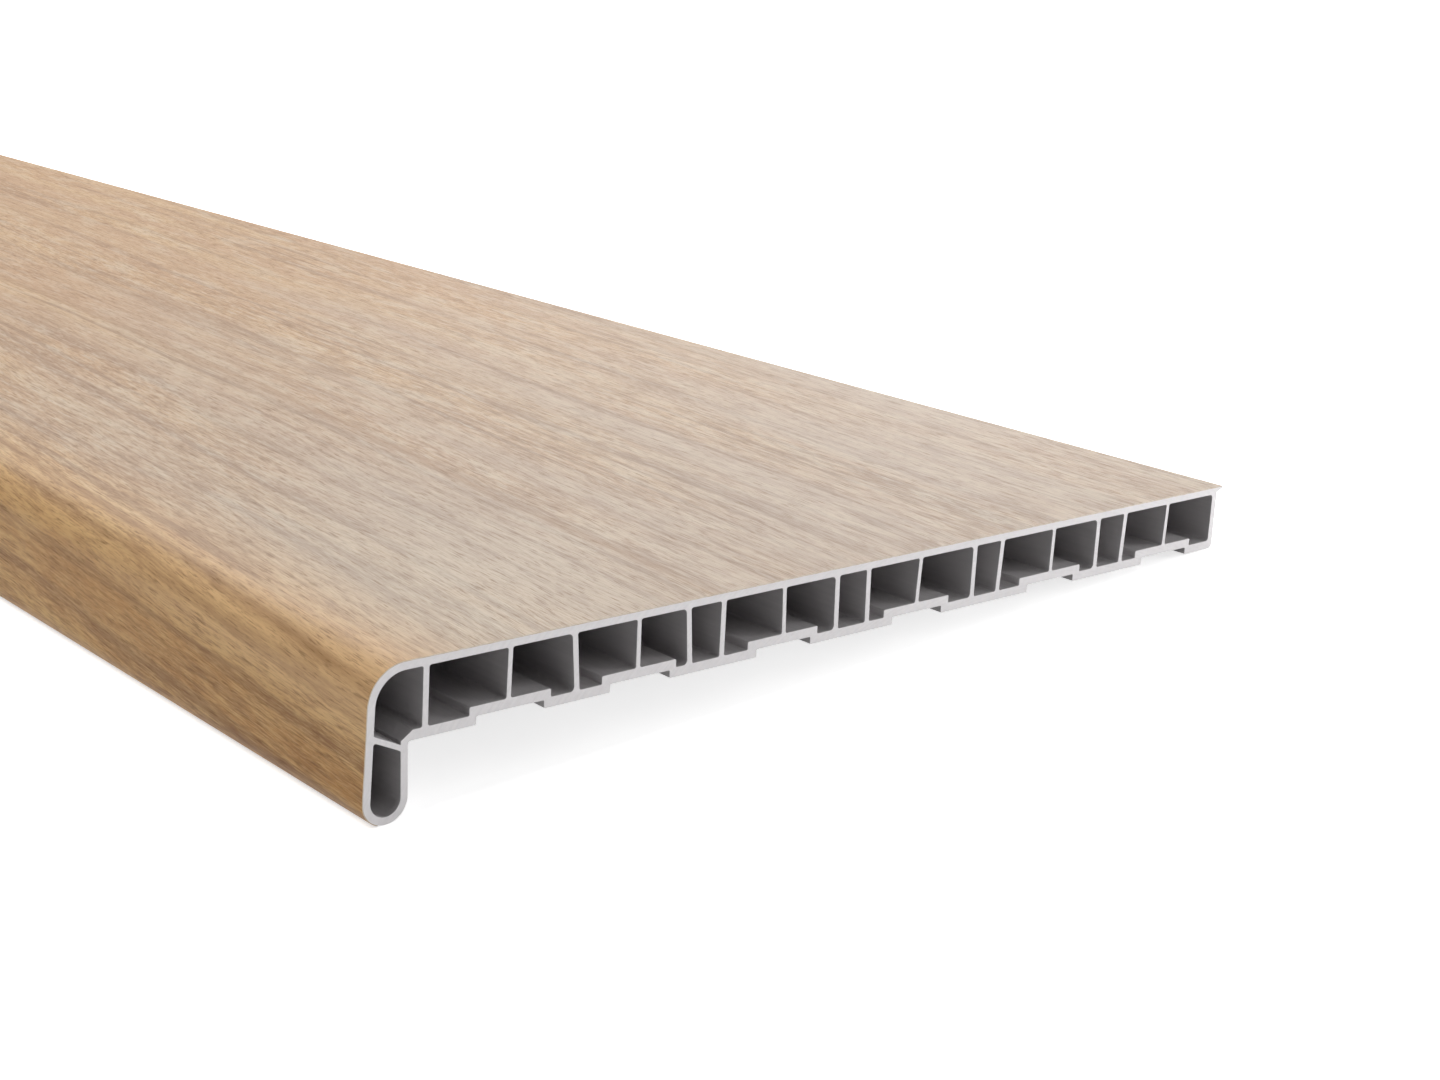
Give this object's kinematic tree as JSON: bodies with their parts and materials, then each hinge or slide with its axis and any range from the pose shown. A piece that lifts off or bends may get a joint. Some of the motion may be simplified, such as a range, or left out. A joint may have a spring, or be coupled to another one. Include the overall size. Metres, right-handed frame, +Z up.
{
  "type": "window sill board",
  "caption": "Hollow-chamber plastic window sill board with a rounded drop nose, a grooved underside, a thin back lip and an oak decor film over its face and nose.",
  "frame": {"origin": "midway along the length and the width, level with the lowest point of the nose", "axes": "+X along the board, +Y from the nose to the back edge, +Z up out of the decor face"},
  "size_m": [1, 0.3, 0.0375],
  "materials": {
    "plastic": "extruded light grey plastic, sawn at the ends",
    "oak_decor": "satin decor film with an oak print along the board"
  },
  "bodies": {
    "root": {"hollow_board": "plastic", "decor_film": "oak_decor"}
  },
  "joints": []
}
